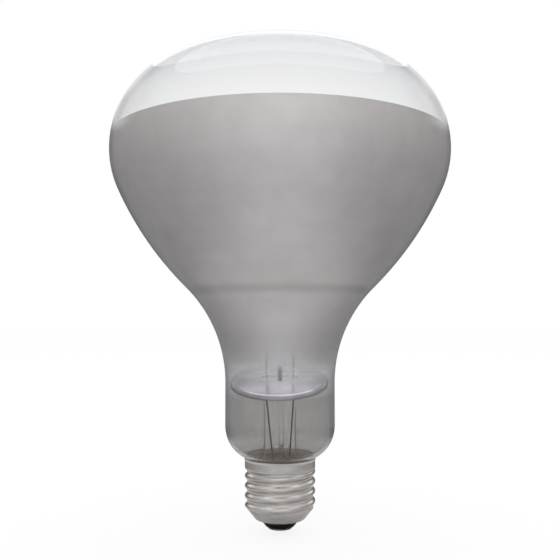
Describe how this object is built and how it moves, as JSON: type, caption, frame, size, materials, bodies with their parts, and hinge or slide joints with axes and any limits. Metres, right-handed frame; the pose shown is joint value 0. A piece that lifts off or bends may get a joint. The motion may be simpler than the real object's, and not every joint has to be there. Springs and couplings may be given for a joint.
{
  "type": "infrared reflector lamp",
  "caption": "Reflector heat lamp: blown glass bulb with a clear face and silvered sides, straight neck with an inner heat shield, and a screw cap.",
  "frame": {"origin": "the lowest point of the cap's centre contact, on the lamp's axis, where the lamp stops in its holder", "axes": "+Z along the lamp's axis from the cap to the clear face; -Y is the side that the picture shows"},
  "size_m": [0.127, 0.127, 0.182],
  "materials": {
    "bulb_glass": "clear blown soda-lime glass",
    "stem_glass": "clear lead-free stem glass",
    "film": "evaporated aluminium film behind glass",
    "shield_aluminium": "bright rolled sheet",
    "tungsten": "drawn tungsten wire",
    "hook_wire": "molybdenum wire",
    "nickel_wire": "nickel-plated wire",
    "copper_clad_wire": "copper-clad wire in glass",
    "tinned_wire": "tinned wire",
    "cement": "baked basing cement",
    "cap_aluminium": "bright rolled sheet",
    "black_glass": "black cast glass",
    "contact_metal": "tin-plated brass",
    "solder": "dull solder"
  },
  "bodies": {
    "root": {"glass_bulb": "bulb_glass", "reflector_film": "film", "heat_shield": "shield_aluminium", "glass_stem": "stem_glass", "exhaust_tube": "stem_glass", "centre_rod": "stem_glass", "filament": "tungsten", "support_hook_1": "hook_wire", "support_hook_2": "hook_wire", "support_hook_3": "hook_wire", "support_hook_4": "hook_wire", "support_hook_5": "hook_wire", "left_inner_lead": "nickel_wire", "right_inner_lead": "nickel_wire", "left_seal_wire": "copper_clad_wire", "right_seal_wire": "copper_clad_wire", "left_outer_lead": "tinned_wire", "right_outer_lead": "tinned_wire", "basing_cement": "cement", "cap_shell": "cap_aluminium", "cap_insulator": "black_glass", "centre_contact": "contact_metal", "contact_solder": "solder", "side_solder": "solder"}
  },
  "joints": []
}
